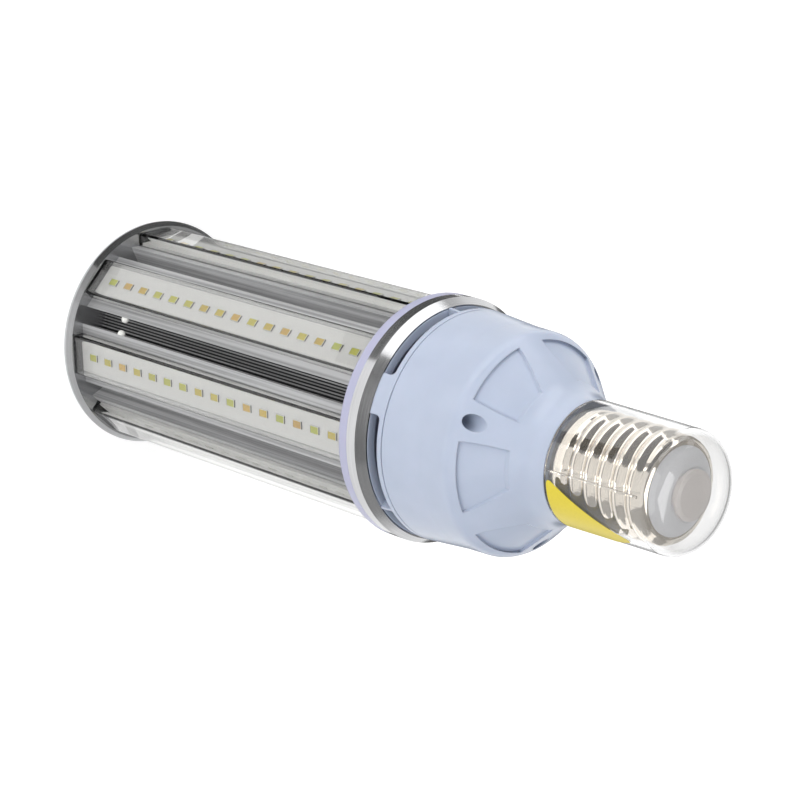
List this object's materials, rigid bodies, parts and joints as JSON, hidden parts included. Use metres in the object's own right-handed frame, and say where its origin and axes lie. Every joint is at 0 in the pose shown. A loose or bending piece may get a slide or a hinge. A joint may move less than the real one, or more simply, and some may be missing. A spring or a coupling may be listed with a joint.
{
  "type": "corn led bulb",
  "caption": "Cylindrical LED lamp with long strips of LEDs under clear covers, a finned metal core, a vented driver housing and a screw base under a clear cap.",
  "frame": {"origin": "middle of the outer face of the end plate, on the bulb's axis", "axes": "+Z along the axis from the end plate to the screw base, +X through the middle of the first LED strip"},
  "size_m": [0.0919, 0.0918, 0.2887],
  "materials": {
    "plate_aluminium": "brushed",
    "sink_aluminium": "extruded, bare",
    "white_board": "white coated circuit board",
    "led_phosphor": "yellow silicone",
    "clear_cover": "clear, extruded",
    "white_sealant": "cured silicone",
    "lilac_plastic": "moulded",
    "housing_plastic": "moulded, glossy",
    "zinc_steel": "zinc plated",
    "nickel_shell": "nickel plated",
    "tinned_contact": "tinned",
    "grey_insulator": "unglazed",
    "clear_cap": "clear, moulded",
    "driver_laminate": "glass fibre laminate",
    "winding_tape": "taped winding",
    "choke_ferrite": "dipped ferrite",
    "capacitor_sleeve": "shrunk sleeve",
    "lead_sheath": "extruded sheath"
  },
  "bodies": {
    "bulb": {"end_plate": "plate_aluminium", "trim_ring": "plate_aluminium", "heat_sink": "sink_aluminium", "led_board_1": "white_board", "led_board_2": "white_board", "led_board_3": "white_board", "led_board_4": "white_board", "led_board_5": "white_board", "led_board_6": "white_board", "led_board_7": "white_board", "led_board_8": "white_board", "led_chips_1": "led_phosphor", "led_chips_2": "led_phosphor", "led_chips_3": "led_phosphor", "led_chips_4": "led_phosphor", "led_chips_5": "led_phosphor", "led_chips_6": "led_phosphor", "led_chips_7": "led_phosphor", "led_chips_8": "led_phosphor", "lens_cover_1": "clear_cover", "lens_cover_2": "clear_cover", "lens_cover_3": "clear_cover", "lens_cover_4": "clear_cover", "lens_cover_5": "clear_cover", "lens_cover_6": "clear_cover", "lens_cover_7": "clear_cover", "lens_cover_8": "clear_cover", "sealant_beads": "white_sealant", "collar": "lilac_plastic", "vent_ring": "housing_plastic", "driver_housing": "housing_plastic", "end_plate_screws": "zinc_steel", "housing_screws": "zinc_steel", "screw_shell": "nickel_shell", "centre_contact": "tinned_contact", "base_insulator": "grey_insulator", "driver_board": "driver_laminate", "transformer": "winding_tape", "choke": "choke_ferrite", "filter_capacitors": "capacitor_sleeve", "input_leads": "lead_sheath", "output_leads": "lead_sheath"},
    "cap": {"protective_cap": "clear_cap"}
  },
  "joints": [
    {"name": "cap_pull", "type": "slide", "parent": "bulb", "child": "cap", "axis": [0, 0, 1], "range_m": [0, 0.055]}
  ]
}
